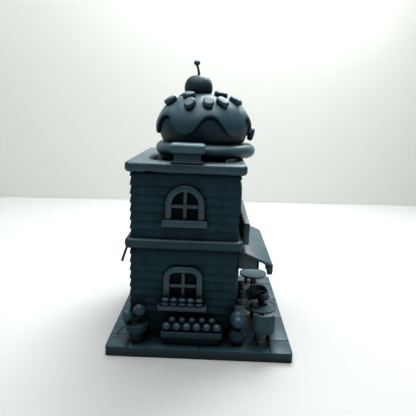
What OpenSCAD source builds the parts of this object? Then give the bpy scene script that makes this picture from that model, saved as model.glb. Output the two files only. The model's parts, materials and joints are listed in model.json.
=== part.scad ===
// Two-storey miniature bakery; its upper floor, its roof and the cake on the roof lift off.
// +X runs along the shop front, -Y is the terrace side, Z = 0 is the underside of the base.

/* [House] */
// Outside length of the walls, along the shop front
house_l = 60; // [50:1:80]
// Outside width of the walls, front to back
house_w = 41; // [34:1:52]
// Thickness of every wall
wall_t = 2; // [1.6:0.1:2.8]
// Height of the ground-floor walls
lower_h = 35.4; // [30:0.2:46]
// Height of the upper-floor walls
upper_h = 24.6; // [21:0.2:32]
// Height of one weatherboard
board_h = 3.3; // [2.6:0.1:4.4]
// How far each board's foot stands proud of its top edge
board_lap = 0.5; // [0.2:0.05:0.6]

/* [Base] */
// Thickness of the base plate
base_h = 3.8; // [3:0.2:6]
// Base beyond each end wall
end_margin = 10; // [9:0.5:14]
// Base behind the back wall
back_margin = 7.4; // [5:0.2:10]
// Depth of the terrace in front of the shop
terrace_w = 21.6; // [20:0.2:28]
// Corner radius of the base plate
base_r = 1.2; // [0.6:0.1:2]

/* [Floors and roof] */
// Thickness of the floor between the storeys
slab_h = 4; // [3:0.2:5]
// Thickness of the flat roof
roof_h = 3.9; // [3:0.1:5]
// How far the floor slab and the roof stand out past the walls
eave = 1.8; // [1.2:0.1:2.4]
// Depth of the sunk part of the roof
recess_h = 5.4; // [4:0.2:6.6]
// Roof border at each end of the sunk part
border_end = 8; // [6:0.2:10]
// Roof border behind the sunk part
border_back = 7.4; // [5:0.2:9]
// Roof border in front of the sunk part
border_front = 2.8; // [2:0.2:5]
// Corner radius of the sunk part
recess_r = 8; // [5:0.5:12]
// Gap between pieces that lift apart
lift_gap = 0.15; // [0.1:0.05:0.4]
// Clearance around the locating rims under the upper floor and the roof
rim_fit = 0.3; // [0.2:0.05:0.5]
// Depth of the locating rims
rim_h = 1.2; // [1:0.1:2]

/* [End windows] */
// Outside width of the upper window frame
upper_win_w = 14.5; // [12:0.1:18]
// Height of the upper window frame above its sill
upper_win_h = 13; // [11:0.1:16]
// Height of the upper window frame's foot above the upper floor
upper_win_z = 7.4; // [6:0.1:8.5]
// Outside width of the lower window frame
lower_win_w = 14.9; // [12:0.1:18]
// Height of the lower window frame
lower_win_h = 14.2; // [12:0.1:17.5]
// Top corner radius of the lower window frame
lower_win_r = 4.6; // [3:0.1:6]
// Height of the lower window frame's foot above the ground floor
lower_win_z = 14.5; // [12:0.1:17.4]
// Width of a window frame's border
frame_b = 2.3; // [1.6:0.1:2.8]
// How far a window frame stands proud of the wall
frame_out = 0.9; // [0.5:0.1:1.5]
// Width of the glazing bars
bar_w = 1.35; // [0.9:0.05:1.8]
// Thickness of the window panes
pane_t = 0.8; // [0.5:0.1:1]

/* [Shop front] */
// Width of the door leaf
door_w = 8.6; // [7:0.1:10]
// Height of the door leaf
door_h = 20; // [16:0.2:24]
// Width of each shop window frame
shop_win_w = 15; // [12:0.1:18]
// Height of each shop window frame
shop_win_h = 12.2; // [10:0.1:14.7]
// How far the awning stops short of each end of the shop front
awning_inset = 3.5; // [1:0.5:6]
// Reach of the awning from the wall
awning_reach = 13.9; // [11:0.1:16]
// Drop of the awning from the wall to its outer edge
awning_drop = 5.7; // [4:0.1:8]
// Thickness of the awning
awning_t = 1.2; // [0.9:0.1:1.6]
// Height of the awning's hanging valance
valance_h = 3.6; // [2.5:0.1:5]
// How far the sign board stops short of each end of the shop front
sign_inset = 6; // [3:0.5:10]
// Height of the sign board
sign_h = 8.6; // [7:0.1:9.5]
// Thickness of the sign board
sign_t = 2.5; // [1.6:0.1:3.2]

/* [Cake] */
// How far the cushion under the cake reaches past the sunk part, front to back
foot_seat = 3.8; // [3:0.1:4.6]
// Thickness of that cushion
foot_h = 5.8; // [4.4:0.1:7]
// How much smaller the cake's radius is than its cushion's
cake_inset = 2.5; // [2:0.1:3]
// Height of the cake under its icing
cake_h = 18.1; // [15:0.1:22]
// Thickness of the icing
icing_t = 1.5; // [1:0.1:1.8]
// Radius of the cherry
cherry_r = 5.8; // [4.8:0.1:7]
// Length of the cherry's stalk
stalk_l = 5; // [4:0.1:7]

/* [Furniture and plants] */
// Diameter of a table top
table_d = 13.2; // [11:0.2:15]
// Height of a table
table_h = 9.2; // [8:0.1:11]
// Width of a chair's back at the top
chair_w = 8.3; // [7:0.1:9.6]
// Height of a chair's seat
seat_h = 6; // [5:0.1:7]
// Height of a chair's back above its seat
chair_back_h = 6.9; // [6:0.1:8.3]
// Length of the ground planter
planter_l = 22.8; // [19:0.2:26]
// Height of the ground planter
planter_h = 5.4; // [4.6:0.1:6.6]
// Radius of the plant pot's rim
pot_r = 4.35; // [3.5:0.05:4.6]
// Diameter of a flower head in a trough on a wall
flower_d = 3.1; // [2.5:0.1:3.3]
// Diameter of a flower head in the ground planter
bloom_d = 3.4; // [2.6:0.1:3.8]

/* [Hidden] */
$fn = 64;

// Overall plan
base_l = house_l + 2 * end_margin;
base_w = back_margin + house_w + terrace_w;
house_y = base_w / 2 - back_margin - house_w / 2;
front_y = house_y - house_w / 2;
// Levels
slab_z = base_h + lower_h + lift_gap;
upper_z = slab_z + slab_h;
roof_z = upper_z + upper_h + lift_gap;
roof_top = roof_z + roof_h;
// Sunk part of the roof
roof_l = house_l + 2 * eave;
roof_w = house_w + 2 * eave;
slab_r = 2;
recess_l = roof_l - 2 * border_end;
recess_w = roof_w - border_front - border_back;
recess_y = (border_front - border_back) / 2;
tray_t = 1.4;
ledge_h = 2;
// Chimney at the roof's left end, its near face flush with the roof's
chimney_w = 9.6;
chimney_d = 5.8;
chimney_h = 3.5;
cap_over = 1.65;
cap_h = 3.5;
chimney_x = chimney_d / 2 - roof_l / 2;
// Cake on the roof, clear of the chimney
foot_gap = 1;
foot_r = min(recess_w / 2 + foot_seat, roof_l / 2 - chimney_d - cap_over - foot_gap);
plug_r = recess_w / 2 - 4.7;
plug_back = 3.3;
cake_r = foot_r - cake_inset;
cake_foot_z = roof_top + lift_gap;
cake_z = cake_foot_z + foot_h;
cake_y = house_y + recess_y - 3.9;
cake_shift = 1.1;
cherry_shift = 2.6;
// Details that keep one size
paving_depth = 0.3;
paving_w = 0.4;
paving_l = 20;
paving_row = 26.5;
sill_over = 1.2;
sill_t = 2.6;
sill_out = 1.7;
box_over = 1.9;
box_t = 2.7;
box_out = 3.2;
shop_win_x = (house_l / 2 - wall_t + door_w / 2 + frame_b) / 2;
shop_win_r = 2.5;
shop_box_z = lower_win_z - box_t;
front_win_x = house_l / 4 - 1;
front_win_w = 11;
front_win_h = 11.4;
front_win_z = 8.6;
pot_wall_gap = 0.3;
pot_x = house_l / 2 + pot_wall_gap + pot_r;
pot_h = 7.6;
table_x = [21.5 - base_l / 2, base_l / 2 - 20];
terrace_y = front_y - terrace_w / 2 - 0.4;
table_y = terrace_y + 0.2;
chair_x = [table_x[0] - 17.9, table_x[0] + 13.9, table_x[1] + 16];
chair_turn = [0, 180, 180];
chair_curve = 5.2;
back_foot = 0.6;
seat_t = 1.2;
leg_r = 0.5;
back_t = 1.2;

// ---- Helpers ----

// Rectangle with round corners, centred, with true arcs
module round_rect(l, w, r) {
    square([l - 2 * r, w], center = true);
    square([l, w - 2 * r], center = true);
    for (x = [-1, 1], y = [-1, 1])
        translate([x * (l / 2 - r), y * (w / 2 - r)]) circle(r);
}

// Upright window outline with round top corners, standing on the origin
module arch(w, h, r) {
    intersection() {
        union() {
            translate([-w / 2, 0]) square([w, h - r]);
            if (w > 2 * r) translate([r - w / 2, 0]) square([w - 2 * r, h]);
            for (x = [-1, 1]) translate([x * (w / 2 - r), h - r]) circle(r);
        }
        translate([-w / 2, 0]) square([w, h]);
    }
}

// Stands a flat outline up in a wall, from depth y_out to depth y_in (negative is outside)
module upright(y_out, y_in) {
    translate([0, y_in, 0]) rotate([90, 0, 0]) linear_extrude(y_in - y_out) children();
}

// Places things in a wall's own frame: x to the right seen from outside, y into the house, z up
module at_wall(side, z) {
    turn = side == "front" ? 0 : side == "right" ? 90 : side == "back" ? 180 : -90;
    out = side == "front" || side == "back" ? house_w / 2 : house_l / 2;
    translate([0, house_y, z]) rotate(turn) translate([0, -out, 0]) children();
}

// Stepped outline of the boards' faces up to height h, as [distance in from the foot's face, height]
function lap_steps(h) = let (n = floor(h / board_h), rest = h - n * board_h) concat(
    [for (i = [0:n - 1], k = [0, 1]) [k * board_lap, (i + k) * board_h]],
    rest > 0.01 ? [[0, n * board_h], [board_lap * rest / board_h, h]] : []);

// Weatherboarded panel, its outer face at y = 0, centred on x, standing on z = 0
module boarded_panel(l, h) {
    translate([-l / 2, 0, 0]) rotate([90, 0, 90]) linear_extrude(l)
        polygon(concat([[wall_t, 0]], lap_steps(h), [[wall_t, h]]));
}

// The same with boards that return around the corners of the house
module boarded_end_panel(l, h) {
    steps = lap_steps(h);
    last = len(steps) - 1;
    intersection() {
        boarded_panel(l, h);
        upright(-1, wall_t + 1) polygon(concat([for (p = steps) [p[0] - l / 2, p[1]]],
            [for (i = [last:-1:0]) [l / 2 - steps[i][0], steps[i][1]]]));
    }
}

// Shallow seat in the boards for something fixed to the wall's face
module seat_cut(w, h, z) {
    translate([-w / 2, -1, z]) cube([w, 1 + board_lap, h]);
}

// Frame with a cross of glazing bars
module window_frame(w, h, r, z, bar_z) {
    inner_w = w - 2 * frame_b;
    inner_h = h - frame_b;
    translate([0, 0, z]) {
        upright(-frame_out, wall_t - pane_t) difference() {
            arch(w, h, r);
            translate([0, -1]) arch(inner_w, inner_h + 1, max(r - frame_b, 0.4));
        }
        upright(-0.4, wall_t - pane_t) intersection() {
            arch(w - frame_b, h - frame_b / 2, r - frame_b / 2);
            union() {
                translate([-bar_w / 2, 0]) square([bar_w, h]);
                translate([-w / 2, bar_z]) square([w, bar_w]);
            }
        }
    }
}

module window_pane(w, h, r, z) {
    translate([0, 0, z]) upright(wall_t - pane_t, wall_t) arch(w, h, r);
}

module window_hole(w, h, r, z) {
    translate([0, 0, z]) upright(-1, wall_t + 1) arch(w, h, r);
}

// Trough on the wall with a raised lip at both ends
module trough(l) {
    lip = 0.7;
    translate([-l / 2, -box_out, 0]) cube([l, box_out + board_lap, box_t - lip]);
    for (x = [-1, 1]) translate([x * (l - lip) / 2 - lip / 2, -box_out, 0])
        cube([lip, box_out + board_lap, box_t]);
}

// Row of flower heads, each a small ball on a larger one
module flower_row(n, pitch, r) {
    for (i = [0:n - 1]) translate([(i - (n - 1) / 2) * pitch, 0, r]) {
        sphere(r);
        translate([0, 0, 0.4 * r]) sphere(0.8 * r);
    }
}

// Egg-shaped solid of revolution standing on z = 0, pointed a little at the top
module egg(r, h, point = 0.22) {
    steps = 20;
    rotate_extrude() polygon(concat([[0, 0]],
        [for (i = [1:steps - 1]) let (a = 180 * i / steps)
            [r * sin(a) * (1 + point * cos(a)), h * (1 - cos(a)) / 2]],
        [[0, h]]));
}

module ball(x, y, z, r) {
    translate([x, y, z]) sphere(r);
}

// ---- Base and ground floor ----

module paving_groove(corner, size) {
    translate([corner[0], corner[1], base_h - paving_depth]) cube([size[0], size[1], paving_depth + 1]);
}

module base_plate() {
    color("slategray") difference() {
        linear_extrude(base_h) round_rect(base_l, base_w, base_r);
        for (x = [paving_l / 2 - base_l / 2:paving_l:base_l / 2])
            paving_groove([x - paving_w / 2, -base_w / 2 - 1], [paving_w, base_w + 2]);
        for (y = [-1:1])
            paving_groove([-base_l / 2 - 1, y * paving_row - paving_w / 2], [base_l + 2, paving_w]);
    }
}

// End wall of the ground floor; both ends have the same window
module lower_end_wall(side) {
    color("slategray") at_wall(side, base_h) difference() {
        boarded_end_panel(house_w, lower_h);
        window_hole(lower_win_w, lower_win_h, lower_win_r, lower_win_z);
        seat_cut(lower_win_w + 2 * box_over, box_t, lower_win_z - box_t);
    }
}

module lower_end_window(side) {
    color("lightslategray") at_wall(side, base_h)
        window_frame(lower_win_w, lower_win_h, lower_win_r, lower_win_z, lower_win_h * 0.41);
}

module lower_end_pane(side) {
    color("darkslategray") at_wall(side, base_h)
        window_pane(lower_win_w, lower_win_h, lower_win_r, lower_win_z);
}

module window_box() {
    color("lightslategray") for (side = ["left", "right"])
        at_wall(side, base_h + lower_win_z - box_t) trough(lower_win_w + 2 * box_over);
}

module window_box_flowers() {
    color("lightslategray") for (side = ["left", "right"])
        at_wall(side, base_h + lower_win_z - 0.7) translate([0, -frame_out - flower_d / 2 - 0.05, 0])
            flower_row(5, flower_d + 0.1, flower_d / 2);
}

// Shop front: a door between two windows, each window over a flower trough
module shop_places() {
    for (x = [-1, 1]) translate([x * shop_win_x, 0, 0]) children();
}

module lower_front_wall() {
    color("slategray") at_wall("front", base_h) difference() {
        boarded_panel(house_l - 2 * wall_t, lower_h);
        upright(-1, wall_t + 1) arch(door_w + 2 * frame_b, door_h + frame_b, 3);
        shop_places() {
            window_hole(shop_win_w, shop_win_h, shop_win_r, lower_win_z);
            seat_cut(shop_win_w + 1, box_t, shop_box_z);
        }
    }
}

module lower_back_wall() {
    color("slategray") at_wall("back", base_h) boarded_panel(house_l - 2 * wall_t, lower_h);
}

module door_frame() {
    color("lightslategray") at_wall("front", base_h) upright(-frame_out, wall_t) difference() {
        arch(door_w + 2 * frame_b, door_h + frame_b, 3);
        translate([0, -1]) arch(door_w, door_h + 1, 1.2);
    }
}

module door() {
    color("slategray") at_wall("front", base_h) difference() {
        upright(0.4, wall_t) arch(door_w, door_h, 1.2);
        for (z = [2, 10.6]) translate([-door_w / 2 + 1.4, 0, z]) cube([door_w - 2.8, 0.7, 7.4]);
    }
}

module door_knob() {
    color("lightslategray") at_wall("front", base_h)
        translate([door_w / 2 - 0.7, 0.4, door_h * 0.48]) rotate([90, 0, 0]) rotate_extrude()
            polygon([[0, 0], [0.25, 0], [0.25, 0.4], [0.5, 0.6], [0.5, 0.9], [0.25, 1.1], [0, 1.1]]);
}

module shop_window_frames() {
    color("lightslategray") at_wall("front", base_h) shop_places()
        window_frame(shop_win_w, shop_win_h, shop_win_r, lower_win_z, shop_win_h * 0.55);
}

module shop_window_panes() {
    color("darkslategray") at_wall("front", base_h) shop_places()
        window_pane(shop_win_w, shop_win_h, shop_win_r, lower_win_z);
}

module shop_flower_boxes() {
    color("lightslategray") at_wall("front", base_h + shop_box_z) shop_places() trough(shop_win_w + 1);
}

module shop_flowers() {
    color("lightslategray") at_wall("front", base_h + lower_win_z - 0.7) shop_places()
        translate([0, -frame_out - flower_d / 2 - 0.05, 0]) flower_row(4, flower_d + 0.3, flower_d / 2);
}

awning_l = house_l - 2 * awning_inset;
sign_l = house_l - 2 * sign_inset;

// Height of the awning's upper face at a distance out from the wall, and of its foot at the wall
function awning_z(out) = base_h + lower_h - 0.1 - awning_drop * out / awning_reach;

module along_front(l) {
    translate([-l / 2, front_y, 0]) rotate([90, 0, 90]) linear_extrude(l) children();
}

module awning_panel() {
    color("lightslategray") along_front(awning_l) polygon([
        [0, awning_z(0) - awning_t], [0, awning_z(0)],
        [-awning_reach, awning_z(awning_reach)], [-awning_reach, awning_z(awning_reach) - awning_t]]);
}

// Hanging edge with scallops, its top cut to the slope of the panel
module awning_valance() {
    scallops = 9;
    thickness = 1.8;
    pitch = awning_l / scallops;
    foot_z = awning_z(awning_reach) - awning_t - valance_h;
    color("lightslategray") difference() {
        translate([0, front_y - awning_reach + thickness, foot_z]) rotate([90, 0, 0]) linear_extrude(thickness)
            intersection() {
                translate([-awning_l / 2, 0]) square([awning_l, valance_h + awning_t]);
                union() {
                    translate([-awning_l / 2, valance_h / 2]) square([awning_l, valance_h / 2 + awning_t]);
                    for (i = [0:scallops - 1]) translate([(i - (scallops - 1) / 2) * pitch, pitch / 2])
                        circle(pitch / 2);
                }
            }
        along_front(awning_l + 2) polygon([
            [0, awning_z(0) - awning_t], [0, awning_z(0) + 9],
            [-awning_reach - 1, awning_z(0) + 9], [-awning_reach - 1, awning_z(awning_reach + 1) - awning_t]]);
    }
}

// Case behind the awning, its top under the slope
module awning_box() {
    box_reach = 7.8;
    window_gap = 0.3;
    box_z = base_h + lower_win_z + shop_win_h + window_gap;
    color("slategray") along_front(awning_l - 3) polygon([
        [0, box_z], [0, awning_z(0) - awning_t],
        [-box_reach, awning_z(box_reach) - awning_t], [-box_reach, box_z]]);
}

// ---- Plants ----

planter_d = 6.8;
planter_x = -house_l / 2 - 0.8 - planter_d / 2;
planter_end = 5.1;
planter_y = front_y + planter_end + planter_l / 2;
soil_drop = 0.4;
soil_step = 1.5;
soil_back = 0.6;
pot_gap = 5.35;
pot_y = planter_y + planter_l / 2 + pot_gap + pot_r;

module planter_box() {
    rim_t = 2.3;
    taper = 1.2;
    color("lightslategray") translate([planter_x, planter_y, base_h]) difference() {
        union() {
            translate([0, 0, (planter_h - rim_t) / 2])
                cube([planter_d - 2 * taper, planter_l - 2 * taper, planter_h - rim_t], center = true);
            translate([0, 0, planter_h - rim_t / 2]) cube([planter_d, planter_l, rim_t], center = true);
        }
        translate([0, 0, planter_h]) cube([planter_d - 1.6, planter_l - 1.6, 2 * soil_drop], center = true);
    }
    color("lightslategray") translate([planter_x + soil_back, planter_y, base_h + planter_h - soil_drop])
        translate([0, 0.8 - planter_l / 2, 0]) cube([planter_d / 2 - 0.8 - soil_back, planter_l - 1.6, soil_step]);
}

module planter_flowers() {
    r = bloom_d / 2;
    front_n = 6;
    back_n = 5;
    rim_clear = 0.85 + sqrt(pow(r, 2) - pow(r - soil_drop, 2));
    pitch = (planter_l - 2 * rim_clear) / (front_n - 1);
    z = base_h + planter_h - soil_drop + r;
    color("lightslategray") {
        for (i = [0:front_n - 1])
            ball(planter_x + soil_back - 0.05 - r, planter_y + (i - (front_n - 1) / 2) * pitch, z, r);
        for (i = [0:back_n - 1])
            ball(planter_x + 1.5, planter_y + (i - (back_n - 1) / 2) * pitch, z + soil_step - 0.1 * r, 0.9 * r);
    }
}

pot_rim = 2.9;

module plant_pot() {
    color("lightslategray") translate([-pot_x, pot_y, base_h]) rotate_extrude()
        polygon([[0, 0], [pot_r - 2, 0], [pot_r - 1.4, pot_h - pot_rim], [pot_r - 0.3, pot_h - pot_rim],
            [pot_r, pot_h], [pot_r - 0.8, pot_h], [pot_r - 0.8, pot_h - soil_drop], [0, pot_h - soil_drop]]);
}

module pot_bushes() {
    color("lightslategray") translate([-pot_x, pot_y, base_h + pot_h - soil_drop]) {
        translate([-0.6, 2.4, 0]) {
            cylinder(h = 2, r = 0.6);
            translate([0, 0.9, 0.7]) egg(2.2, 4.9, 0.1);
        }
        translate([0.9, -1, 0]) {
            cylinder(h = 3.6, r = 0.7);
            translate([0, 0, 2.2]) egg(2.35, 5.2, 0.1);
        }
    }
}

round_pot_r = 3.35;
round_pot_h = 6.1;
round_pot_x = -house_l / 2 - 3.6;
round_pot_y = front_y - 0.9;

module round_pot() {
    cut = 0.3;
    color("lightslategray") translate([round_pot_x, round_pot_y, base_h]) intersection() {
        translate([0, 0, round_pot_r - cut]) sphere(round_pot_r);
        cylinder(h = round_pot_h, r = round_pot_r + 1);
    }
}

module round_pot_bushes() {
    z = base_h + round_pot_h;
    color("lightslategray") translate([round_pot_x, round_pot_y, z]) {
        translate([0.3, 0, 0]) egg(3.1, 7.3, 0.05);
        translate([-1.6, 0, 3.3]) sphere(2.45);
    }
}

// ---- Terrace furniture ----

module table_top(i) {
    color("lightslategray") translate([table_x[i], table_y, base_h + table_h - 1]) rotate_extrude()
        polygon([[0, 0], [table_d / 2 - 0.3, 0], [table_d / 2, 0.3], [table_d / 2, 1],
            [table_d / 2 - 0.6, 1], [table_d / 2 - 0.6, 0.75], [0, 0.75]]);
}

module table_leg(i) {
    h = table_h - 1;
    color("slategray") translate([table_x[i], table_y, base_h]) rotate_extrude()
        polygon([[0, 0], [3, 0], [3, 0.5], [1.2, 1.1], [0.8, 2], [0.8, h - 1], [1.6, h], [0, h]]);
}

// Each chair stands in its own frame: it faces +x and its back is at x = 0
module chair_places() {
    for (i = [0:len(chair_x) - 1])
        translate([chair_x[i], terrace_y + 0.3, base_h]) rotate(chair_turn[i]) children();
}

module chair_seats() {
    color("lightslategray") chair_places() translate([chair_curve - back_t / 2, 0, seat_h - seat_t])
        cylinder(h = seat_t, r = chair_curve - back_t);
}

// Backs curved around their seats, with round corners
module chair_backs() {
    corner = 1.9;
    low_corner = 1.2;
    h = chair_back_h + back_foot;
    color("lightslategray") chair_places() translate([0, 0, seat_h - back_foot]) intersection() {
        translate([chair_curve - back_t / 2, 0, 0]) difference() {
            cylinder(h = h, r = chair_curve);
            translate([0, 0, -1]) cylinder(h = h + 2, r = chair_curve - back_t);
        }
        translate([-back_t, 0, 0]) rotate([90, 0, 90]) linear_extrude(chair_curve) {
            translate([0, h / 2]) square([chair_w - 2 * corner, h], center = true);
            translate([-chair_w / 2, low_corner]) square([chair_w, h - corner - low_corner]);
            for (x = [-1, 1]) {
                translate([x * (chair_w / 2 - corner), h - corner]) circle(corner);
                translate([x * (chair_w / 2 - low_corner), low_corner]) circle(low_corner);
            }
        }
    }
}

module chair_legs() {
    reach = (chair_curve - back_t) * 0.56;
    color("slategray") chair_places() translate([chair_curve - back_t / 2, 0, 0])
        for (x = [-1, 1], y = [-1, 1]) translate([x * reach, y * reach, 0])
            cylinder(h = seat_h - seat_t, r = leg_r);
}

table_top_z = base_h + table_h - 0.25;

module saucer() {
    color("lightslategray") translate([table_x[0] + 2.6, table_y - 0.6, table_top_z]) rotate_extrude()
        polygon([[0, 0], [1.3, 0], [2.5, 0.5], [2.5, 0.7], [1.2, 0.35], [0, 0.35]]);
}

cup_h = 4.4;

module teacup() {
    color("lightslategray") translate([table_x[0] + 2.6, table_y - 0.6, table_top_z + 0.35]) {
        rotate_extrude() polygon([[0, 0], [1, 0], [1.6, 1], [2.1, cup_h],
            [1.65, cup_h], [1.2, 1.2], [0.8, 0.5], [0, 0.5]]);
        translate([0, -2.3, 2.5]) rotate([0, 90, 0]) difference() {
            rotate_extrude() translate([0.8, 0]) circle(0.26);
            translate([-2, 0.45, -1]) cube([4, 2, 2]);
        }
    }
}

module cake_dish() {
    color("lightslategray") translate([table_x[0] - 0.8, table_y + 2.8, table_top_z]) rotate_extrude()
        polygon([[0, 0], [1.4, 0], [2, 0.4], [2, 0.7], [1.6, 0.7], [1.6, 1.3], [1.1, 2], [0, 2.2]]);
}

// ---- Upper floor ----

// Rim that drops inside the walls below and keeps a lift-off piece in place
module locating_rim() {
    in_l = house_l - 2 * wall_t - 2 * rim_fit;
    in_w = house_w - 2 * wall_t - 2 * rim_fit;
    translate([0, 0, -rim_h]) linear_extrude(rim_h) difference() {
        square([in_l, in_w], center = true);
        square([in_l - 2 * wall_t, in_w - 2 * wall_t], center = true);
    }
}

module floor_slab() {
    color("lightslategray") translate([0, house_y, slab_z]) {
        linear_extrude(slab_h) round_rect(roof_l, roof_w, slab_r);
        locating_rim();
    }
}

module upper_end_wall(side) {
    color("slategray") at_wall(side, upper_z) difference() {
        boarded_end_panel(house_w, upper_h);
        window_hole(upper_win_w, upper_win_h, upper_win_w / 2, upper_win_z);
        seat_cut(upper_win_w + 2 * sill_over, sill_t, upper_win_z - sill_t);
    }
}

module upper_end_window(side) {
    color("lightslategray") at_wall(side, upper_z)
        window_frame(upper_win_w, upper_win_h, upper_win_w / 2, upper_win_z, upper_win_h * 0.34);
}

module upper_end_pane(side) {
    color("darkslategray") at_wall(side, upper_z)
        window_pane(upper_win_w, upper_win_h, upper_win_w / 2, upper_win_z);
}

module upper_sills() {
    w = upper_win_w + 2 * sill_over;
    color("lightslategray") for (side = ["left", "right"]) at_wall(side, upper_z + upper_win_z - sill_t)
        translate([-w / 2, -sill_out, 0]) cube([w, sill_out + board_lap, sill_t]);
}

module front_places() {
    for (x = [-1, 1]) translate([x * front_win_x, 0, 0]) children();
}

module upper_front_wall() {
    color("slategray") at_wall("front", upper_z) difference() {
        boarded_panel(house_l - 2 * wall_t, upper_h);
        front_places() window_hole(front_win_w, front_win_h, front_win_w / 2, front_win_z);
    }
}

module upper_back_wall() {
    color("slategray") at_wall("back", upper_z) boarded_panel(house_l - 2 * wall_t, upper_h);
}

module upper_front_windows() {
    color("lightslategray") at_wall("front", upper_z) front_places()
        window_frame(front_win_w, front_win_h, front_win_w / 2, front_win_z, front_win_h * 0.34);
}

module upper_front_panes() {
    color("darkslategray") at_wall("front", upper_z) front_places()
        window_pane(front_win_w, front_win_h, front_win_w / 2, front_win_z);
}

// Plain name board on the floor slab's front edge
module shop_sign() {
    color("lightslategray") translate([-sign_l / 2, front_y - eave - sign_t, slab_z + 1])
        cube([sign_l, sign_t, sign_h]);
}

// ---- Roof and chimney ----

// Outline of the sunk part, grown by a margin; low down it keeps clear of the front wall
module recess_outline(margin) {
    translate([0, recess_y]) round_rect(recess_l + 2 * margin, recess_w + 2 * margin, recess_r + margin);
}

module sunk_outline(margin) {
    front = wall_t + rim_fit + tray_t - house_w / 2 - margin;
    intersection() {
        recess_outline(margin);
        translate([-house_l / 2, front]) square([house_l, house_w]);
    }
}

module roof_slab() {
    color("lightslategray") translate([0, house_y, roof_z]) {
        difference() {
            union() {
                linear_extrude(roof_h) round_rect(roof_l, roof_w, slab_r);
                translate([0, 0, roof_h - recess_h - tray_t]) linear_extrude(recess_h + tray_t - roof_h / 2)
                    sunk_outline(tray_t);
            }
            translate([0, 0, roof_h - ledge_h]) linear_extrude(ledge_h + 1) recess_outline(0);
            translate([0, 0, roof_h - recess_h]) linear_extrude(recess_h) sunk_outline(0);
        }
        locating_rim();
    }
}

// Stack with a flared foot
module chimney_stack() {
    half = chimney_w / 2;
    flare = 1.4;
    color("slategray") translate([chimney_x - chimney_d / 2, house_y - 0.4, roof_top])
        rotate([90, 0, 90]) linear_extrude(chimney_d) polygon([
            [-half - flare, 0], [half + flare, 0], [half + 0.4 * flare, 0.4], [half, 1.4],
            [half, chimney_h], [-half, chimney_h], [-half, 1.4], [-half - 0.4 * flare, 0.4]]);
}

module chimney_cap() {
    color("lightslategray") translate([chimney_x, house_y - 0.4, roof_top + chimney_h])
        linear_extrude(cap_h) round_rect(chimney_d + 2 * cap_over, chimney_w + 2 * cap_over, 1.4);
}

// ---- Cake ----

// Cushion with a fully rounded edge, on a plug that stands in the sunk part of the roof
module cake_foot() {
    edge = foot_h / 2;
    color("lightslategray") translate([0, cake_y, cake_foot_z]) {
        cylinder(h = foot_h, r = foot_r - edge);
        translate([0, 0, edge]) rotate_extrude() translate([foot_r - edge, 0]) circle(edge);
        translate([0, plug_back, -recess_h]) cylinder(h = recess_h + 0.5, r = plug_r);
    }
}

// Radius of the cake at a share t of its height, from 0 at its foot to 1 at its crown
function cake_radius(t) = cake_r * (t < 0.36
    ? 1 - 0.09 * pow((0.36 - t) / 0.36, 2)
    : pow(1 - pow((t - 0.36) / 0.64, 1.9), 1 / 2.2));
cake_steps = 18;
function cake_outline(extra) = [for (i = [0:cake_steps]) let (t = i / cake_steps)
    [i == cake_steps ? 0 : cake_radius(t) + extra, cake_h * t + (t > 0.36 ? extra * (t - 0.36) / 0.64 : 0)]];

module cake() {
    color("slategray") translate([0, cake_y + cake_shift, cake_z]) rotate_extrude()
        polygon(concat([[0, 0]], cake_outline(0)));
}

// Lower edge of the icing, in shares of the cake's height, with a drip every sixth of a turn
drips = 6;
function icing_edge(a) = 0.375 - 0.21 * cos(drips * (a + 21)) + 0.012 * cos(3 * drips * (a + 21));
icing_turns = 108;
icing_rows = 10;

// Skin over the cake that ends in drips; its inner face is a little inside the cake's
module icing() {
    bite = 0.3;
    rows_out = [for (k = [0:icing_rows]) k / icing_rows];
    function at(a, s, off) = let (e = icing_edge(a), t = e + (1 - e) * s, r = cake_radius(min(t, 0.997)) + off)
        [r * cos(a), r * sin(a), cake_h * t + (t > 0.36 ? off * (t - 0.36) / 0.64 : 0)];
    ring = icing_turns;
    outer = [for (s = rows_out, j = [0:ring - 1]) at(360 * j / ring, s, icing_t)];
    inner = [for (s = rows_out, j = [0:ring - 1]) at(360 * j / ring, s, -bite)];
    n = len(outer);
    crown = [[0, 0, cake_h + icing_t], [0, 0, cake_h - bite]];
    function quad(a, b, c, d) = [[a, b, c], [a, c, d]];
    faces = concat(
        [for (k = [0:icing_rows - 1], j = [0:ring - 1]) let (j2 = (j + 1) % ring)
            each quad(k * ring + j, (k + 1) * ring + j, (k + 1) * ring + j2, k * ring + j2)],
        [for (k = [0:icing_rows - 1], j = [0:ring - 1]) let (j2 = (j + 1) % ring)
            each quad(n + k * ring + j2, n + (k + 1) * ring + j2, n + (k + 1) * ring + j, n + k * ring + j)],
        [for (j = [0:ring - 1]) let (j2 = (j + 1) % ring) each quad(j, j2, n + j2, n + j)],
        [for (j = [0:ring - 1]) let (j2 = (j + 1) % ring, k = icing_rows * ring) [k + j, 2 * n, k + j2]],
        [for (j = [0:ring - 1]) let (j2 = (j + 1) % ring, k = n + icing_rows * ring) [k + j2, 2 * n + 1, k + j]]);
    color("lightslategray") translate([0, cake_y + cake_shift, cake_z])
        polyhedron(concat(outer, inner, crown), faces, convexity = 6);
}

sprinkle_l = 5.5;
sprinkle_w = 4.1;
sprinkle_t = 2.2;
sprinkle_sink = 0.5;
// Where each sprinkle lies: turn around the cake, share of its height, and twist on the icing
sprinkle_places = [
    [115, 0.82, -50], [147, 0.92, 82], [161, 0.77, -5], [187, 0.8, 0], [209, 0.81, 28], [228, 0.955, 70],
    [245, 0.85, 45], [277, 0.21, 5], [294, 0.83, -20], [319, 0.9, 60],
    [343, 0.82, 15], [5, 0.92, -65], [27, 0.83, 35], [50, 0.91, -10], [71, 0.82, 70]
];

// Point on the icing at a share t of the cake's height, as [radius, height]
function icing_point(t) = [cake_radius(t) + icing_t, cake_h * t + icing_t * max(t - 0.36, 0) / 0.64];

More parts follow.
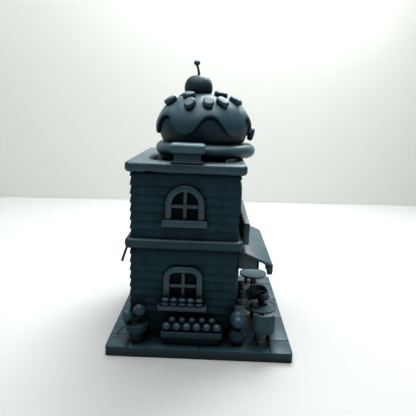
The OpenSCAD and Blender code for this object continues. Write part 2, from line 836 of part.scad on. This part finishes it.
// Flat pills, each sunk a little into the icing
module sprinkles() {
    half = (sprinkle_l - sprinkle_w) / 2;
    color("lightslategray") translate([0, cake_y + cake_shift, cake_z]) for (p = sprinkle_places) {
        at = icing_point(p[1]);
        slope = icing_point(p[1] + 0.01) - at;
        rotate(p[0]) translate([at[0], 0, at[1]]) rotate([0, atan2(slope[0], slope[1]), 0])
            translate([-sprinkle_sink, 0, 0]) rotate([p[2], 0, 0]) rotate([0, 90, 0])
                linear_extrude(sprinkle_t) {
                    square([2 * half, sprinkle_w], center = true);
                    for (end = [-1, 1]) translate([end * half, 0]) circle(sprinkle_w / 2);
                }
    }
}

cherry_z = cake_z + cake_h + icing_t + 2.2;
cherry_flat = 0.9;

module cherry() {
    steps = 24;
    color("slategray") translate([0, cake_y + cake_shift + cherry_shift, cherry_z]) rotate_extrude()
        polygon([for (i = [0:steps]) let (a = 180 * i / steps - 90)
            [i == 0 || i == steps ? 0 : cherry_r * cos(a), cherry_flat * cherry_r * sin(a)]]);
}

module cherry_stalk() {
    lean = 11;
    z = cherry_z + cherry_flat * cherry_r - 0.3;
    color("lightslategray") translate([0, cake_y + cake_shift + cherry_shift, z]) rotate([-lean, 0, 0]) {
        cylinder(h = stalk_l, r = 0.55);
        translate([0, 0, stalk_l]) sphere(1.3);
    }
}

// ---- The nodes ----

base_plate();
lower_end_wall("left");  // lower_left_wall
lower_end_wall("right");  // lower_right_wall
lower_front_wall();
lower_back_wall();
lower_end_window("left");  // lower_left_window
lower_end_pane("left");  // lower_left_pane
lower_end_window("right");  // lower_right_window
lower_end_pane("right");  // lower_right_pane
window_box();
window_box_flowers();
door_frame();
door();
door_knob();
shop_window_frames();
shop_window_panes();
shop_flower_boxes();
shop_flowers();
awning_box();
awning_panel();
awning_valance();
planter_box();
planter_flowers();
plant_pot();
pot_bushes();
round_pot();
round_pot_bushes();
table_top(0);  // table_1_top
table_leg(0);  // table_1_leg
table_top(1);  // table_2_top
table_leg(1);  // table_2_leg
chair_seats();
chair_backs();
chair_legs();
saucer();
teacup();
cake_dish();
floor_slab();
upper_end_wall("left");  // upper_left_wall
upper_end_wall("right");  // upper_right_wall
upper_front_wall();
upper_back_wall();
upper_end_window("left");  // upper_left_window
upper_end_pane("left");  // upper_left_pane
upper_end_window("right");  // upper_right_window
upper_end_pane("right");  // upper_right_pane
upper_sills();
upper_front_windows();
upper_front_panes();
shop_sign();
roof_slab();
chimney_stack();
chimney_cap();
cake_foot();
cake();
icing();
sprinkles();
cherry();
cherry_stalk();
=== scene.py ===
# %% [markdown]
# # A resin-printed miniature bakery
# The model is an unpainted tabletop building: two storeys, a terrace with furniture, and a giant iced cake
# on the roof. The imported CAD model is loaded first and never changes. Almost every mesh below stands in for
# one of its pieces, with softer edges and a finish, in the same frame and in metres.

# %% Load the frame
import json
import math

import bmesh
import bpy
from mathutils import Matrix, Vector, noise


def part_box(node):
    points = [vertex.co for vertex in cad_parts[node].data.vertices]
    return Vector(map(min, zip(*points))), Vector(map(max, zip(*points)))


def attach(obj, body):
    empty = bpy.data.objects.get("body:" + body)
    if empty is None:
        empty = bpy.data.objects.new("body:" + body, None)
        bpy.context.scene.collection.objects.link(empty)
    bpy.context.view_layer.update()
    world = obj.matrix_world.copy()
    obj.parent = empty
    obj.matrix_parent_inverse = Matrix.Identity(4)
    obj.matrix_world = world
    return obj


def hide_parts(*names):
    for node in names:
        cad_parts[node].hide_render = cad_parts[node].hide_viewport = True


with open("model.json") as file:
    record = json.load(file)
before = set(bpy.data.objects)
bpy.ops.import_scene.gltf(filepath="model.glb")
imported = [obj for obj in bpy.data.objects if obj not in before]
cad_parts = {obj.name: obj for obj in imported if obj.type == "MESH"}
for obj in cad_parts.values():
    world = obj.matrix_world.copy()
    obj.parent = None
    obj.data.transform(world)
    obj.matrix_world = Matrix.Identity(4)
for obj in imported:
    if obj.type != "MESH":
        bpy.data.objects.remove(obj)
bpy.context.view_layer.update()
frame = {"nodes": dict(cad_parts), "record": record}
MM = 0.001
body_of_node = {n: b for b, ns in frame["record"]["behaviour"]["bodies"].items() for n in ns}

# %% [markdown]
# ## The camera
# The camera stands 15 cm from the base, about 2 cm above the roof, and looks down by 12 degrees. It is
# rolled by two degrees, as a hand-held one is, so the whole building leans slightly in the render. Its
# three axes are worked out as vectors and put straight into its matrix, which is easier to read than turns
# in order.

# %% Camera
CAMERA_PLACE = Vector((-191.97, -2.79, 90.68)) * MM
YAW, PITCH, ROLL = math.radians(0.5), math.radians(12.19), math.radians(-2.16)
ahead = Vector((math.cos(PITCH) * math.cos(YAW), math.cos(PITCH) * math.sin(YAW), -math.sin(PITCH)))
level = ahead.cross(Vector((0, 0, 1))).normalized()
right = math.cos(ROLL) * level + math.sin(ROLL) * ahead.cross(level)
up = right.cross(ahead)
camera_data = bpy.data.cameras.new("camera")
camera_data.sensor_width = 36
camera_data.lens = 38.94
camera_data.clip_start = 1 * MM
camera = bpy.data.objects.new("camera", camera_data)
camera.matrix_world = Matrix.Translation(CAMERA_PLACE) @ Matrix((right, up, -ahead)).transposed().to_4x4()
bpy.context.scene.collection.objects.link(camera)
bpy.context.scene.camera = camera
print("camera at, in mm:", [round(c / MM, 1) for c in CAMERA_PLACE])

# %% [markdown]
# ## Helpers for meshes
# A piece is made in a bmesh, in metres, where it stands. `new_object` turns the bmesh into an object at the
# origin and gives it its material. `keep_piece` also shades it smooth up to an angle, hangs it on the CAD
# body that it belongs to and hides the CAD nodes that it stands in for.

# %% Mesh helpers
SAME_POINT = 0.001 * MM


def new_object(name, mesh, material):
    data = bpy.data.meshes.new(name)
    mesh.to_mesh(data)
    mesh.free()
    data.materials.append(material)
    made = bpy.data.objects.new(name, data)
    bpy.context.scene.collection.objects.link(made)
    return made


def keep_piece(name, mesh, nodes, material, smooth_angle=40):
    piece = new_object(name, mesh, material)
    piece.data.shade_smooth()
    piece.data.set_sharp_from_angle(angle=math.radians(smooth_angle))
    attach(piece, body_of_node[nodes[0]])
    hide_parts(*nodes)
    print(name, "with", len(piece.data.polygons), "faces")


def node_mesh(node):
    mesh = bmesh.new()
    mesh.from_mesh(frame["nodes"][node].data)
    bmesh.ops.remove_doubles(mesh, verts=mesh.verts, dist=SAME_POINT)
    return mesh


print("mesh helpers ready; points closer than", SAME_POINT / MM, "mm are merged")


# %% [markdown]
# ## Soft edges
# No printed edge is perfectly sharp: cured resin rounds it by a tenth of a millimetre or more, and that
# round edge is what catches the light. It could be drawn in the CAD model, which would make that heavy, or
# faked in the material, which would not change the outline. Here a bevel on a merged copy of the CAD piece
# gives it. An outer edge loses a sliver and an inner corner gains one, and the piece stays inside its box.

# %% Rounding the edges of a CAD piece
FLAT = math.radians(0.5)


def sharp_edges(mesh, angle):
    limit = math.radians(angle)
    return [e for e in mesh.edges if len(e.link_faces) == 2 and e.calc_face_angle(0) > limit]


def softened(node, material, width, segments=2, angle=35, smooth_angle=40):
    mesh = node_mesh(node)
    bmesh.ops.dissolve_limit(mesh, angle_limit=FLAT, verts=mesh.verts, edges=mesh.edges)
    bmesh.ops.bevel(mesh, geom=sharp_edges(mesh, angle), offset=width * MM, offset_type="OFFSET",
                    affect="EDGES", segments=segments, profile=0.5, material=-1, clamp_overlap=False)
    keep_piece("soft_" + node, mesh, [node], material, smooth_angle)


print("edges can be rounded; facets within", round(math.degrees(FLAT), 2), "degrees become one face first")


# %% [markdown]
# ## Colours and shader nodes
# Colours are written as sRGB hex values, as a colour picker shows them, and turned to the linear values
# that shaders expect. One small function adds a shader node with its settings and its links.

# %% Colour and node helpers
def linear(hex_colour):
    channels = [int(hex_colour[i:i + 2], 16) / 255 for i in (1, 3, 5)]
    return [c / 12.92 if c <= 0.04045 else ((c + 0.055) / 1.055) ** 2.4 for c in channels] + [1.0]


def add_node(tree, kind, inputs=None, **settings):
    made = tree.nodes.new(kind)
    for name, value in settings.items():
        setattr(made, name, value)
    for key, value in (inputs or {}).items():
        if isinstance(value, bpy.types.NodeSocket):
            tree.links.new(value, made.inputs[key])
        else:
            made.inputs[key].default_value = value
    return made


print("mid grey in linear values:", [round(c, 3) for c in linear("#808080")[:3]])


# %% [markdown]
# ## Photopolymer resin
# The whole model is one batch of blue-grey photopolymer, printed in layers and cured. It is a smooth
# plastic with a dull sheen: dark teal where it faces the viewer and pale where light grazes it. Painted
# shade darkens its corners, creases and the gaps under and between parts still more. The printer's 0.05 mm
# layers are too fine to show, so they are drawn 0.3 mm apart. A faint mottle comes from washing and handling.

# %% Printed resin: its colour
LAYER = 0.3 * MM
WAVE_PERIOD = 2 * math.pi / 20
# Near black that the painted shade in corners, creases and gaps between parts fades to; the panes' weave also
# uses it for the gaps between its threads.
PAINTED_SHADE_AND_GAPS = "#020608"
# Each painted shade has its reach, and how open a face is where it is fully dark and where it is fully
# unshaded.
BROAD_SHADE = (8 * MM, 0.25, 0.88)
CREVICE_SHADE = (0.8 * MM, 0.3, 0.85)


def resin_colour(tree, place, dark, pale, mottle):
    cloud = add_node(tree, "ShaderNodeTexNoise", {"Vector": place, "Scale": 1 / (mottle * MM), "Detail": 4})
    cloud_range = add_node(tree, "ShaderNodeMapRange", {0: cloud.outputs["Fac"], 1: 0.3, 2: 0.7})
    colour = add_node(tree, "ShaderNodeMix", {0: cloud_range.outputs[0], 6: linear(dark), 7: linear(pale)},
                      data_type="RGBA").outputs[2]
    # Painted shade: two occlusion passes darken corners, creases and the spaces under and between parts.
    for reach, darkest, lightest in (BROAD_SHADE, CREVICE_SHADE):
        hollow = add_node(tree, "ShaderNodeAmbientOcclusion", {"Distance": reach}, samples=8)
        depth = add_node(tree, "ShaderNodeMapRange", {0: hollow.outputs["AO"], 1: darkest, 2: lightest})
        colour = add_node(tree, "ShaderNodeMix", {0: depth.outputs[0], 6: linear(PAINTED_SHADE_AND_GAPS), 7: colour},
                          data_type="RGBA").outputs[2]
    return colour


print("printed layers are drawn", round(LAYER / MM, 2), "mm apart")

# %% [markdown]
# ## The surface of the resin
# The layers run around every piece as fine ridges, so a wave along Z pushes the surface in and out. The
# panes are woven: two waves that cross make the threads. A speck noise breaks up the sheen, as dust and
# washing do. All of it reads Object coordinates, so a pattern stays with its piece when the piece is
# lifted.

# %% Printed resin: its surface
def layer_bump(tree, place, strength):
    lines = add_node(tree, "ShaderNodeTexWave", {
        "Vector": place, "Scale": WAVE_PERIOD / LAYER, "Distortion": 0.6, "Detail": 1, "Detail Scale": 0.4},
        bands_direction="Z")
    return add_node(tree, "ShaderNodeBump", {"Strength": strength, "Distance": 0.05 * MM,
                                             "Height": lines.outputs["Fac"]}).outputs[0]


def lattice(tree, place, pitch):
    threads = [add_node(tree, "ShaderNodeTexWave", {"Vector": place, "Scale": WAVE_PERIOD / (pitch * MM)},
                        bands_direction=axis) for axis in ("Y", "Z")]
    return add_node(tree, "ShaderNodeMath", {0: threads[0].outputs["Fac"], 1: threads[1].outputs["Fac"]},
                    operation="MAXIMUM").outputs[0]


def printed_resin(name, dark, pale, roughness=0.46, gloss=0.5, layers=0.25, grain=0.25, mottle=5, weave=0):
    material = bpy.data.materials.new(name)
    material.use_nodes = True
    tree = material.node_tree
    tree.nodes.clear()
    place = add_node(tree, "ShaderNodeTexCoord").outputs["Object"]
    colour = resin_colour(tree, place, dark, pale, mottle)
    speck = add_node(tree, "ShaderNodeTexNoise", {"Vector": place, "Scale": 1 / (0.5 * MM), "Detail": 3})
    rough = add_node(tree, "ShaderNodeMapRange", {
        0: speck.outputs["Fac"], 3: roughness - 0.08, 4: roughness + 0.1})
    surface = add_node(tree, "ShaderNodeBump", {
        "Strength": grain, "Distance": 0.08 * MM, "Height": speck.outputs["Fac"],
        "Normal": layer_bump(tree, place, layers)}).outputs[0]
    if weave:
        crossed = lattice(tree, place, weave)
        surface = add_node(tree, "ShaderNodeBump", {
            "Strength": 0.7, "Distance": 0.2 * MM, "Height": crossed, "Normal": surface}).outputs[0]
        colour = add_node(tree, "ShaderNodeMix", {0: crossed, 6: linear(PAINTED_SHADE_AND_GAPS), 7: colour},
                          data_type="RGBA").outputs[2]
    shader = add_node(tree, "ShaderNodeBsdfPrincipled", {
        "Base Color": colour, "Roughness": rough.outputs[0], "Specular IOR Level": gloss,
        "Sheen Weight": 0.12, "Sheen Roughness": 0.3, "Sheen Tint": linear("#e8f2f4"), "Normal": surface})
    add_node(tree, "ShaderNodeOutputMaterial", {"Surface": shader.outputs[0]})
    print("material", name)
    return material


# %% [markdown]
# ## The resins
# It is all one resin, but each kind of piece gets a tone a little darker or paler and a finish smoother or
# duller. Some of these tones are painted light and shade, set to how brightly that kind of piece is lit. So
# each kind gets its own pair of tones, and the rest of the recipe is shared.

# %% The resins
# Resin of the walls and the door: dark and dull, with clear layer lines along the boards.
wall_resin = printed_resin("cured_resin_walls", "#1a3b46", "#254a56", 0.5, 0.25, 0.5)
# Resin of frames, sills, roof and awning: paler and smoother, with bright rounded edges.
trim_resin = printed_resin("cured_resin_trim", "#244450", "#31545f", 0.4, 0.8)
# Resin of the paving and the band between the storeys: a little darker, with a stronger grain.
base_resin = printed_resin("cured_resin_base", "#1c3c47", "#294a55", 0.46, 0.5, grain=0.35)
# Resin of the panes: near black, crossed by woven threads.
pane_resin = printed_resin("cured_resin_lattice_pane", "#15303c", "#1d3a47", 0.5, 0.2, weave=0.55)
# Resin of the sponge and the cherry: darker than the icing and a touch duller, with a broad mottle.
cake_resin = printed_resin("cured_resin_sponge", "#1c3741", "#28454f", 0.48, 0.45, mottle=7)
# Resin of the icing and the sprinkles: pale and smooth, with faint layer lines.
icing_resin = printed_resin("cured_resin_icing", "#2f4f5a", "#3b5d67", 0.44, 0.5, 0.15, mottle=7)
# Resin of the flowers and bushes: pale and round, so they stand out from the wall.
plant_resin = printed_resin("cured_resin_plants", "#294753", "#385862", 0.42, 0.5, 0.1)
# Resin of the furniture: the same tone as the trim, with hardly a layer line on such small pieces.
small_resin = printed_resin("cured_resin_furniture", "#24434e", "#32535e", 0.46, 0.5, 0.1)
# Resin of the chimney's cap and the cushion: the palest, a lit copy of the resin as painted light on these
# round rims.
lit_rim_resin = printed_resin("cured_resin_rims_painted_light", "#3e5f69", "#4c6d77", 0.42, 0.6, 0.15)
# Resin of the pots and troughs: darker than what grows in them, a shaded copy of the resin as painted shade
# on their bodies.
shaded_pot_resin = printed_resin("cured_resin_pots_painted_shade", "#183541", "#24434e", 0.48, 0.35, 0.15)

# %% [markdown]
# ## The walls and bands
# The weatherboards and bands are right as they are in the CAD model, down to the lap of each board, so they
# are only given their soft edges. The bands and the chimney's cap are almost half round, so their bevel is
# wide.

# %% Base, walls and bands
for node in ("lower_left_wall", "lower_right_wall", "lower_front_wall", "lower_back_wall",
             "upper_left_wall", "upper_right_wall", "upper_front_wall", "upper_back_wall"):
    softened(node, wall_resin, 0.12)
softened("base_plate", base_resin, 0.15)
softened("floor_slab", base_resin, 1.5, 6)
softened("roof_slab", trim_resin, 1.4, 6)
softened("chimney_stack", trim_resin, 0.35, 3)
# The cap gets the lit copy of the resin, painted light.
softened("chimney_cap", lit_rim_resin, 1.3, 6)

# %% [markdown]
# ## Windows, boxes, door and awning
# These are thin mouldings with an edge of a quarter of a millimetre. The panes lie behind them with their
# woven surface, which comes from the material, because its threads are too fine for the mesh.

# %% Windows, boxes, door and awning
for side in ("left", "right"):
    softened(f"lower_{side}_window", trim_resin, 0.25)
    softened(f"upper_{side}_window", trim_resin, 0.25)
    softened(f"lower_{side}_pane", pane_resin, 0.05, 1)
    softened(f"upper_{side}_pane", pane_resin, 0.05, 1)
for node in ("upper_sills", "window_box", "door_frame", "shop_window_frames", "shop_flower_boxes",
             "upper_front_windows", "shop_sign"):
    softened(node, trim_resin, 0.25)
for node in ("awning_box", "awning_panel", "awning_valance"):
    softened(node, trim_resin, 0.3)
for node in ("shop_window_panes", "upper_front_panes"):
    softened(node, pane_resin, 0.05, 1)
softened("door", wall_resin, 0.12)
softened("door_knob", trim_resin, 0.05, 1)

# %% [markdown]
# ## Flowers in the window boxes
# Each flower in a window box is two flat lobes, one on the other. The CAD model has a plain body for each,
# and its box says where the lobes go. `wrapped` bends a grid into a closed skin: its columns go once around
# an axis, its rows run from one pole to the other, and the poles and the seam are welded.

# %% A closed skin, a blob and a joined mesh
SEAM = 0.002 * MM


def wrapped(columns, rows, place):
    mesh = bmesh.new()
    bmesh.ops.create_grid(mesh, x_segments=columns, y_segments=rows, size=1)
    for vert in mesh.verts:
        vert.co = place(math.pi * (vert.co.x + 1), (vert.co.y + 1) / 2)
    bmesh.ops.remove_doubles(mesh, verts=mesh.verts, dist=SEAM)
    bmesh.ops.recalc_face_normals(mesh, faces=mesh.faces)
    return mesh


def blob(centre, radii, lumps=0.0, columns=32, rows=20):
    def place(turn, share):
        rise = math.pi * (share - 0.5)
        out = Vector((math.cos(rise) * math.cos(turn), math.cos(rise) * math.sin(turn), math.sin(rise)))
        swell = 1 + lumps * noise.noise(out * 2 + centre / MM)
        return centre + Vector((out.x * radii[0], out.y * radii[1], out.z * radii[2])) * swell * MM
    return wrapped(columns, rows, place)


def joined(*meshes):
    whole = bmesh.new()
    for mesh in meshes:
        data = bpy.data.meshes.new("part")
        mesh.to_mesh(data)
        mesh.free()
        whole.from_mesh(data)
        bpy.data.meshes.remove(data)
    return whole


print("closed skins are welded at", round(SEAM / MM, 3), "mm")

# %% Flowers in the boxes
def islands(node):
    mesh = node_mesh(node)
    left = set(mesh.verts)
    boxes = []
    while left:
        found, edge = set(), [left.pop()]
        while edge:
            vert = edge.pop()
            found.add(vert)
            near = {e.other_vert(vert) for e in vert.link_edges} & left
            left -= near
            edge.extend(near)
        spots = [v.co for v in found]
        boxes.append((Vector([min(c[k] for c in spots) for k in range(3)]),
                      Vector([max(c[k] for c in spots) for k in range(3)])))
    mesh.free()
    return boxes


# Each lobe has its height up the body and its girth along the box, both as shares.
LOBES = (0.25, 1.0), (0.72, 0.96)


def stacked_lobes(node):
    lobes = []
    for low, high in islands(node):
        centre, half = (low + high) / 2, (high - low) / 2 / MM
        for share, girth in LOBES:
            spot = Vector((centre.x, centre.y, low.z + share * (high.z - low.z)))
            lobes.append(blob(spot, (half.x * 0.8, half.y * girth, half.z * 0.5), 0.06, 24, 14))
    keep_piece("lobed_" + node, joined(*lobes), [node], plant_resin, 60)


stacked_lobes("window_box_flowers")
stacked_lobes("shop_flowers")

# %% [markdown]
# ## Bushes, blooms, pots and furniture
# The bushes and the planter's blooms keep their CAD shape, with shallow dents pressed into them so they
# look grown. A dent only goes inwards, so nothing grows out of its box.

# %% Bushes, blooms, pots and furniture
def lumpy(node, material, depth, scale):
    mesh = node_mesh(node)
    mesh.normal_update()
    for vert in mesh.verts:
        dent = 0.5 + 0.5 * noise.noise(vert.co / (scale * MM))
        vert.co -= vert.normal * depth * dent * MM
    keep_piece("lumpy_" + node, mesh, [node], material, 60)


lumpy("planter_flowers", plant_resin, 0.12, 1.2)
lumpy("pot_bushes", plant_resin, 0.2, 1.6)
lumpy("round_pot_bushes", plant_resin, 0.2, 1.8)
# The pots and the trough get the shaded copy of the resin, painted shade.
for node in ("planter_box", "plant_pot", "round_pot"):
    softened(node, shaded_pot_resin, 0.3, 3)
for node in ("table_1_top", "table_1_leg", "table_2_top", "table_2_leg", "chair_seats", "chair_legs",
             "saucer", "teacup", "cake_dish"):
    softened(node, small_resin, 0.15)
softened("chair_backs", small_resin, 0.3, 3)

# %% [markdown]
# ## The cake
# The cake is a squat dome that swells above its foot. Its icing is a thick skin with a rounded lip that
# hangs in six drips, with shallow valleys running down from the crown. Both are closed skins around one
# axis, with their sizes read off the CAD boxes: a formula gives the dome, and the icing's edge is a wave
# around it.

# %% The dome
cake_low, cake_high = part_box("cake")
CAKE_AXIS = Vector((0, (cake_low.y + cake_high.y) / 2, cake_low.z))
CAKE_R = (cake_high.x - cake_low.x) / 2 / MM
CAKE_H = (cake_high.z - cake_low.z) / MM
ICING = (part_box("icing")[1].z - cake_high.z) / MM
WIDEST = 0.36
FOOT_TUCK = 0.09
SHOULDER, CROWN = 1.9, 2.2
POLE = 0.999


def dome(t):
    if t < WIDEST:
        return CAKE_R * (1 - FOOT_TUCK * ((WIDEST - t) / WIDEST) ** 2)
    return CAKE_R * max(1 - ((t - WIDEST) / (1 - WIDEST)) ** SHOULDER, 0) ** (1 / CROWN)


def on_cake(turn, t, off):
    radius = (dome(t) + off) if t < POLE else 0
    rise = CAKE_H * t + off * max(t - WIDEST, 0) / (1 - WIDEST)
    return CAKE_AXIS + Vector((radius * math.cos(turn), radius * math.sin(turn), rise)) * MM


print("cake", round(2 * CAKE_R, 1), "mm across and", round(CAKE_H, 1), "mm high")

# %% Sponge
BASE_ROWS = 0.1


# The first rows close the flat underside, and the rest go up the dome, crowding towards the crown.
def sponge_skin(turn, share):
    if share < BASE_ROWS:
        spoke = Vector((math.cos(turn), math.sin(turn), 0))
        return CAKE_AXIS + spoke * dome(0) * 0.97 * share / BASE_ROWS * MM
    up = (share - BASE_ROWS) / (1 - BASE_ROWS)
    return on_cake(turn, 0.01 + 0.99 * (1 - (1 - up) ** 2), 0)


keep_piece("sponge", wrapped(96, 48, sponge_skin), ["cake"], cake_resin, 60)

# %% Icing
DRIPS, DRIP_TURN = 6, math.radians(21)
EDGE, EDGE_SWING, ARCH = 0.395, 0.21, 0.012
LIP_FROM, LIP_TO, LIP_SAG = 0.25, 0.42, 0.035
UNDER = -0.3
VALLEY = 0.13
HOLLOW, HOLLOW_AT, HOLLOW_WIDTH = 0.25, 0.3, 0.16


# The rows of the icing's skin go down its inside, round its lip, and up its outside to the crown.
def icing_skin(turn, share):
    wave = DRIPS * (turn + DRIP_TURN)
    edge = EDGE - EDGE_SWING * math.cos(wave) + ARCH * math.cos(3 * wave)
    if share < LIP_FROM:
        return on_cake(turn, 1 - (1 - edge) * share / LIP_FROM, UNDER)
    if share < LIP_TO:
        lip = math.pi * (share - LIP_FROM) / (LIP_TO - LIP_FROM)
        out = UNDER + (ICING - UNDER) * (1 - math.cos(lip)) / 2
        return on_cake(turn, edge - LIP_SAG * math.sin(lip), out)
    up = min((share - LIP_TO) / (1 - LIP_TO), 1)
    valley = VALLEY * math.sin(math.pi * up) ** 2 * (1 + math.cos(2 * wave))
    hollow = HOLLOW * math.exp(-((up - HOLLOW_AT) / HOLLOW_WIDTH) ** 2)
    return on_cake(turn, edge + (1 - edge) * (1 - (1 - up) ** 1.6), ICING - valley - hollow)


keep_piece("icing_coat", wrapped(216, 84, icing_skin), ["icing"], icing_resin, 70)

# %% [markdown]
# ## Cherry and stalk
# The cherry is a ball with flattened flanks and a dimple on top where the stalk comes out. The stalk is a
# thin strand that thins in its middle and ends in a knob. `along` reads a point off a smooth curve through
# a few given points, and `strand` wraps a skin around that curve.

# %% A strand along a curve
LAST = 0.9999
STEP = 0.02
TAPER = 6


def along(points, share):
    spot = min(share, LAST) * (len(points) - 1)
    i, t = int(spot), spot - int(spot)
    a, b, c, d = (Vector(points[min(max(i + k, 0), len(points) - 1)]) for k in (-1, 0, 1, 2))
    return 0.5 * (2 * b + (c - a) * t + (2 * a - 5 * b + 4 * c - d) * t ** 2
                  + (3 * b - a - 3 * c + d) * t ** 3)


def strand(points, radius):
    def place(turn, share):
        here = along(points, share)
        ahead = (along(points, min(share + STEP, 1)) - along(points, max(share - STEP, 0))).normalized()
        side = ahead.orthogonal().normalized()
        girth = radius(share) * min(1, TAPER * math.sqrt(max(share * (1 - share), 0)))
        return (here + girth * (math.cos(turn) * side + math.sin(turn) * ahead.cross(side))) * MM
    return wrapped(12, 40, place)


print("a strand looks", STEP, "of its length ahead for its direction")

# %% Cherry and stalk
cherry_low, cherry_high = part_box("cherry")
CHERRY = (cherry_low + cherry_high) / 2
CHERRY_R = (cherry_high.x - cherry_low.x) / 2 / MM
CHERRY_H = (cherry_high.z - cherry_low.z) / 2 / MM
DIMPLE = 1.5
FLANK = 0.82
STALK_R, STALK_WAIST = 0.62, 0.15
KNOB_INSET = 1.3 * MM


def cherry_skin(turn, share):
    rise = math.pi * (share - 0.5)
    radius = CHERRY_R * max(math.cos(rise), 0) ** FLANK
    dimple = DIMPLE * math.exp(-(radius / DIMPLE) ** 2) if rise > 0 else 0
    height = CHERRY_H * math.sin(rise) - dimple
    return CHERRY + Vector((radius * math.cos(turn), radius * math.sin(turn), height)) * MM


stalk_low, stalk_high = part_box("cherry_stalk")
stalk_foot = Vector((0, CHERRY.y, stalk_low.z - 1 * MM)) / MM
knob = Vector((0, stalk_high.y - KNOB_INSET, stalk_high.z - KNOB_INSET)) / MM
stalk_bow = stalk_foot.lerp(knob, 0.4) + Vector((0, -0.25, 0))
stalk_path = [stalk_foot, stalk_bow, stalk_foot.lerp(knob, 0.8), knob]
stalk = strand(stalk_path, lambda share: STALK_R - STALK_WAIST * math.sin(math.pi * share))
keep_piece("dimpled_cherry", wrapped(64, 36, cherry_skin), ["cherry"], cake_resin, 60)
stalk_knob = blob(knob * MM, (1.1, 1.3, 1.05), 0.1)
keep_piece("stalk", joined(stalk, stalk_knob), ["cherry_stalk"], plant_resin, 60)

# %% [markdown]
# ## Sprinkles and cushion
# The sprinkles are flat pills, so their CAD edges get a wide bevel. The cushion keeps its CAD shape, with
# broad shallow dents, as a soft base that has sagged under the cake. It is rigid resin like the rest.

# %% Sprinkles and cushion
softened("sprinkles", icing_resin, 0.8, 5, 50, 60)
# The cushion gets the lit copy of the resin, painted light.
lumpy("cake_foot", lit_rim_resin, 0.35, 7)

# %% [markdown]
# ## Print leftovers
# A snapped print support still hangs from the band between the storeys, fine strings of resin cling to the
# band and the paving, and a few cut-off support tips dot the end wall. They stand in for no CAD node, so
# they only ride on the body that they hang from.

# %% Support stub, strings and tips
def leftover(name, mesh, node, material):
    piece = new_object(name, mesh, material)
    piece.data.shade_smooth()
    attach(piece, body_of_node[node])
    print(name, "with", len(piece.data.polygons), "faces")


stub = [(-30.6, 28.2, 40.4), (-31.4, 28.8, 38.6), (-32.0, 29.4, 36.6), (-32.6, 29.9, 34.7)]
band_string = [(-31.85, 18.2, 42.4), (-32.0, 16.9, 42.0), (-32.0, 15.7, 41.3), (-31.9, 14.6, 40.5)]
paving_string = [(-24.0, 30.8, 3.9), (-28.0, 32.1, 4.3), (-31.0, 32.4, 4.2), (-33.5, 31.4, 3.9)]
leftover("support_stub", strand(stub, lambda share: 0.46), "floor_slab", trim_resin)
leftover("band_string", strand(band_string, lambda share: 0.14), "floor_slab", plant_resin)
leftover("paving_string", strand(paving_string, lambda share: 0.16), "base_plate", plant_resin)
for wall, tips in (("upper_left_wall", ((-4.6, 46.6), (-5.3, 46.1), (-5.9, 46.0))),
                   ("lower_left_wall", ((-7.9, 25.4), (-8.9, 24.9), (-8.3, 22.6), (-5.6, 25.7)))):
    nubs = [blob(Vector((-30.05, y, z)) * MM, (0.35, 0.3, 0.22), 0.3, 10, 8) for y, z in tips]
    leftover("tips_" + wall, joined(*nubs), wall, plant_resin)

# %% [markdown]
# ## The stage
# A pale table runs back to a pale grey wall that stands at a slight angle. Both are matt and have no
# pattern, so the model alone draws the eye.

# %% Table and backdrop
WALL_LEFT, WALL_RIGHT = (124, 1500), (395, -1500)


def stage_plane(name, corners, material):
    mesh = bmesh.new()
    mesh.faces.new([mesh.verts.new(Vector(c) * MM) for c in corners])
    new_object(name, mesh, material)
    print("stage:", name)


# Matt painted board: an even, nearly white surface with no shine.
def paper(name, colour):
    material = bpy.data.materials.new(name)
    material.use_nodes = True
    shader = material.node_tree.nodes["Principled BSDF"]
    shader.inputs["Base Color"].default_value = linear(colour)
    shader.inputs["Roughness"].default_value = 0.9
    shader.inputs["Specular IOR Level"].default_value = 0.2
    return material


stage_plane("table", [(-1500, -1500, 0), (*WALL_RIGHT, 0), (*WALL_LEFT, 0), (-1500, 1500, 0)],
            paper("white_table", "#b4b6b5"))
stage_plane("backdrop", [(*WALL_RIGHT, 0), (*WALL_RIGHT, 1500), (*WALL_LEFT, 1500), (*WALL_LEFT, 0)],
            paper("grey_wall", "#e4e6e2"))

# %% [markdown]
# ## The light
# A broad light hangs over the model and a smaller one stands high behind it, so the top faces and edges are
# pale and the end wall stays dark. Pale light from the whole room only just lifts the shadows.

# %% Lights and room
def soft_light(name, place, aim, width, power):
    data = bpy.data.lights.new(name, "AREA")
    data.shape = "DISK"
    data.size = width * MM
    data.energy = power
    light = bpy.data.objects.new(name, data)
    place, aim = Vector(place) * MM, Vector(aim) * MM
    turned = (place - aim).to_track_quat("Z", "Y").to_matrix().to_4x4()
    light.matrix_world = Matrix.Translation(place) @ turned
    bpy.context.scene.collection.objects.link(light)
    print(name, "of", power, "W")


soft_light("ceiling_light", (0, 40, 700), (0, 0, 0), 900, 9.3)
soft_light("window_light", (215, -60, 330), (0, 0, 60), 240, 1.9)

world = bpy.data.worlds.new("room")
world.use_nodes = True
world.node_tree.nodes["Background"].inputs["Color"].default_value = linear("#dfe6ea")
world.node_tree.nodes["Background"].inputs["Strength"].default_value = 0.14
bpy.context.scene.world = world
bpy.context.scene.view_settings.view_transform = "Standard"
bpy.context.scene.view_settings.gamma = 0.8
